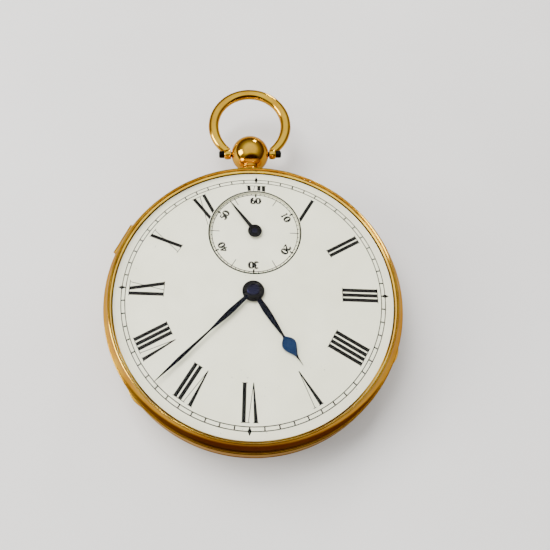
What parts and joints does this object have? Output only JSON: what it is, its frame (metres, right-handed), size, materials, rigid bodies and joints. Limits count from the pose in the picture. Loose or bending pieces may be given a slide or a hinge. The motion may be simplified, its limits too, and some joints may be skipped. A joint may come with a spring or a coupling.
{
  "type": "open face pocket watch",
  "caption": "Key-wound open face pocket watch with hinged bezel and back, bow on a ball pendant, enamel dial, sunk seconds dial and a bar movement with lever escapement.",
  "frame": {"origin": "case axis at the flat outside of the back cover", "axes": "+Z out through the glass, +Y to the pendant and bow, +X to the right seen from the front"},
  "size_m": [0.046, 0.0634, 0.0105],
  "materials": {
    "gold": "polished gold",
    "red_gold": "polished red gold",
    "gilt_brass": "frosted gilt brass",
    "steel": "grained hardened steel",
    "blued_steel": "heat-blued steel",
    "black_steel": "darkened steel",
    "enamel": "glossy fired enamel",
    "glass": "clear polished glass",
    "ruby": "polished jewel"
  },
  "bodies": {
    "case": {"case_middle": "gold", "pendant": "gold", "inner_dome": "gold", "bezel_hinge_pin": "red_gold", "back_hinge_pin": "red_gold", "main_plate": "gilt_brass", "barrel_bar": "gilt_brass", "centre_bar": "gilt_brass", "third_bar": "gilt_brass", "fourth_bar": "gilt_brass", "escape_cock": "gilt_brass", "pallet_cock": "gilt_brass", "balance_cock": "gilt_brass", "movement_hinge_pin": "steel", "click_spring": "steel", "hairspring": "blued_steel", "click_screw": "blued_steel", "barrel_bar_screw_1": "blued_steel", "barrel_bar_screw_2": "blued_steel", "centre_bar_screw": "blued_steel", "third_bar_screw": "blued_steel", "fourth_bar_screw": "blued_steel", "escape_cock_screw": "blued_steel", "pallet_cock_screw": "blued_steel", "balance_cock_screw": "blued_steel", "bow_screw": "black_steel", "dial": "enamel", "seconds_dial": "enamel", "endstone": "ruby"},
    "bow": {"bow": "gold"},
    "bezel": {"bezel": "gold", "crystal": "glass"},
    "back_cover": {"back_cover": "gold"},
    "centre": {"centre_wheel": "gilt_brass", "cannon_pinion": "steel", "setting_arbor": "blued_steel", "minute_hand": "blued_steel"},
    "hour": {"hour_wheel": "gilt_brass", "hour_hand": "blued_steel"},
    "minute_wheel": {"minute_wheel": "gilt_brass"},
    "third": {"third_wheel": "gilt_brass"},
    "fourth": {"fourth_wheel": "gilt_brass", "seconds_hand": "blued_steel"},
    "escape": {"escape_wheel": "steel"},
    "barrel": {"barrel": "gilt_brass", "barrel_cover": "gilt_brass", "mainspring": "steel"},
    "winding": {"barrel_arbor": "steel", "ratchet_wheel": "steel"},
    "click": {"click": "steel"},
    "pallets": {"pallet_lever": "steel"},
    "balance": {"balance_wheel": "gilt_brass", "balance_staff": "steel", "roller": "steel"},
    "regulator": {"regulator": "steel"},
    "latch": {"movement_latch": "steel"}
  },
  "joints": [
    {"name": "bow_swing", "type": "hinge", "parent": "case", "child": "bow", "pos_m": [0, 0.0272, 0.0055], "axis": [1, 0, 0], "range_deg": [-98.5, 81.5]},
    {"name": "bezel_open", "type": "hinge", "parent": "case", "child": "bezel", "pos_m": [-0.02089, 0.00974, 0.0066], "axis": [-0.4226, -0.9063, 0], "range_deg": [0, 100]},
    {"name": "back_open", "type": "hinge", "parent": "case", "child": "back_cover", "pos_m": [0.01766, 0.01482, 0.004], "axis": [0.6428, -0.766, 0], "range_deg": [0, 100]},
    {"name": "centre_turn", "type": "hinge", "parent": "case", "child": "centre", "pos_m": [0, 0, 0.006], "axis": [0, 0, -1], "continuous": true},
    {"name": "hour_turn", "type": "hinge", "parent": "case", "child": "hour", "pos_m": [0, 0, 0.00677], "axis": [0, 0, -1], "continuous": true},
    {"name": "minute_wheel_turn", "type": "hinge", "parent": "case", "child": "minute_wheel", "pos_m": [0.00333, -0.00138, 0.0065], "axis": [0, 0, -1], "continuous": true},
    {"name": "third_turn", "type": "hinge", "parent": "case", "child": "third", "pos_m": [-0.00294, 0.00608, 0.0035], "axis": [0, 0, -1], "continuous": true},
    {"name": "fourth_turn", "type": "hinge", "parent": "case", "child": "fourth", "pos_m": [0.00046, 0.01045, 0.00453], "axis": [0, 0, -1], "continuous": true},
    {"name": "escape_turn", "type": "hinge", "parent": "case", "child": "escape", "pos_m": [0.00455, 0.00832, 0.00427], "axis": [0, 0, -1], "continuous": true},
    {"name": "barrel_turn", "type": "hinge", "parent": "case", "child": "barrel", "pos_m": [-0.00437, -0.00832, 0.0034], "axis": [0, 0, -1], "continuous": true},
    {"name": "winding_turn", "type": "hinge", "parent": "case", "child": "winding", "pos_m": [-0.00437, -0.00832, 0.00194], "axis": [0, 0, -1], "continuous": true},
    {"name": "click_lift", "type": "hinge", "parent": "case", "child": "click", "pos_m": [-0.00019, -0.00935, 0.00194], "axis": [0, 0, -1], "range_deg": [0, 12]},
    {"name": "pallets_rock", "type": "hinge", "parent": "case", "child": "pallets", "pos_m": [0.00751, 0.00585, 0.00427], "axis": [0, 0, -1], "range_deg": [-4, 4]},
    {"name": "balance_swing", "type": "hinge", "parent": "case", "child": "balance", "pos_m": [0.01075, 0.00313, 0.00332], "axis": [0, 0, -1], "range_deg": [-270, 270]},
    {"name": "regulator_move", "type": "hinge", "parent": "case", "child": "regulator", "pos_m": [0.01075, 0.00313, 0.00199], "axis": [0, 0, -1], "range_deg": [-20, 20]},
    {"name": "latch_slide", "type": "slide", "parent": "case", "child": "latch", "axis": [0.0436, 0.999, 0], "range_m": [0, 0.0003]}
  ],
  "couplings": [
    {"joint": "third_turn", "follows": "centre_turn", "ratio": -8},
    {"joint": "fourth_turn", "follows": "centre_turn", "ratio": 60},
    {"joint": "escape_turn", "follows": "centre_turn", "ratio": -600},
    {"joint": "barrel_turn", "follows": "centre_turn", "ratio": -0.16667},
    {"joint": "minute_wheel_turn", "follows": "centre_turn", "ratio": -0.33333},
    {"joint": "hour_turn", "follows": "centre_turn", "ratio": 0.083333}
  ]
}
